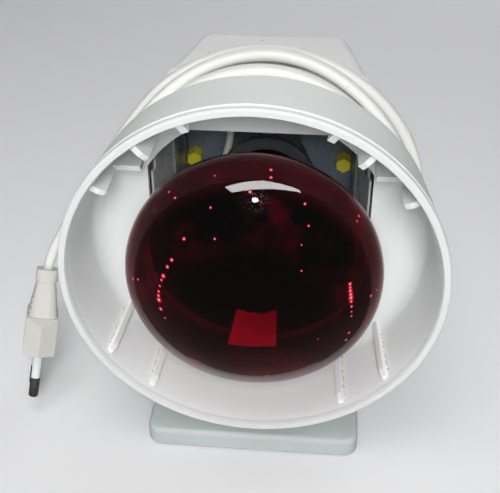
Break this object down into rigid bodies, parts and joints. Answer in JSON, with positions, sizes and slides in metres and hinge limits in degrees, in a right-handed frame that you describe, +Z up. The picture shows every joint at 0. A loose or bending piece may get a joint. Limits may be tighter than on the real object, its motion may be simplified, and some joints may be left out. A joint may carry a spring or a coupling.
{
  "type": "infrared heat therapy lamp",
  "caption": "Table heat lamp: round tilting plastic hood with a screw-in ruby reflector bulb, mains cord wound round its neck, on a flat weighted foot.",
  "frame": {"origin": "on the surface the lamp stands on, under the middle of its box (bulb front to foot rear), without the mains cord", "axes": "+Z up, the lamp shines towards -Y, +X to the right seen from the front"},
  "size_m": [0.1755, 0.1484, 0.1536],
  "materials": {
    "hood_white": "moulded, light sheen",
    "housing_white": "moulded, light sheen",
    "foot_grey_white": "moulded, slightly yellowed",
    "underside_grey": "moulded",
    "ballast_steel": "plain sheet",
    "rubber_pad": "matt",
    "zinc_steel": "zinc plated",
    "fibre_washer": "vulcanised fibre",
    "chassis_grey": "grey paint on folded sheet",
    "nut_yellow": "moulded",
    "holder_black": "phenolic",
    "brass": "plain",
    "lead_sleeve": "silicone sleeve",
    "terminal_natural": "moulded",
    "cord_pvc": "flexible PVC, ivory white",
    "plug_pvc": "moulded PVC",
    "pin_metal": "dulled plating",
    "pin_sleeve": "moulded",
    "ruby_glass": "ruby glass, rear half mirrored inside",
    "cap_metal": "plain",
    "cap_glass": "black vitrite",
    "stem_glass": "clear",
    "tungsten": "plain wire"
  },
  "bodies": {
    "foot": {"foot_shell": "foot_grey_white", "foot_ballast": "ballast_steel", "foot_bottom_cover": "underside_grey", "foot_cover_screws": "zinc_steel", "rubber_feet": "rubber_pad", "hinge_bolt": "zinc_steel", "hinge_nut": "zinc_steel", "hinge_spring_washer": "zinc_steel", "hinge_friction_washers": "fibre_washer"},
    "head": {"front_hood": "hood_white", "hood_screws": "zinc_steel", "rear_housing": "housing_white", "chassis_plate": "chassis_grey", "chassis_nuts": "nut_yellow", "lampholder_base": "holder_black", "lampholder_skirt": "holder_black", "lampholder_screw_shell": "brass", "lampholder_centre_contact": "brass", "lampholder_screws": "zinc_steel", "lampholder_terminal_screws": "brass", "live_lead": "lead_sleeve", "neutral_lead": "lead_sleeve", "terminal_block": "terminal_natural", "terminal_block_screws": "brass", "cord_gland": "cord_pvc", "inner_cord": "cord_pvc", "cord_clamp": "terminal_natural", "cord_clamp_screws": "zinc_steel", "cord_winding": "cord_pvc", "cord_tail": "cord_pvc", "plug_body": "plug_pvc", "plug_pins": "pin_metal", "plug_pin_sleeves": "pin_sleeve"},
    "bulb": {"bulb_glass": "ruby_glass", "bulb_cap": "cap_metal", "bulb_cap_insulator": "cap_glass", "bulb_cap_contact": "cap_metal", "bulb_stem": "stem_glass", "bulb_filament": "tungsten", "bulb_filament_supports": "tungsten"}
  },
  "joints": [
    {"name": "head_tilt", "type": "hinge", "parent": "foot", "child": "head", "pos_m": [0, 0.03365, 0.023], "axis": [-1, 0, 0], "range_deg": [0, 40]},
    {"name": "bulb_unscrew", "type": "slide", "parent": "head", "child": "bulb", "axis": [0, -1, 0], "range_m": [0, 0.12]}
  ]
}
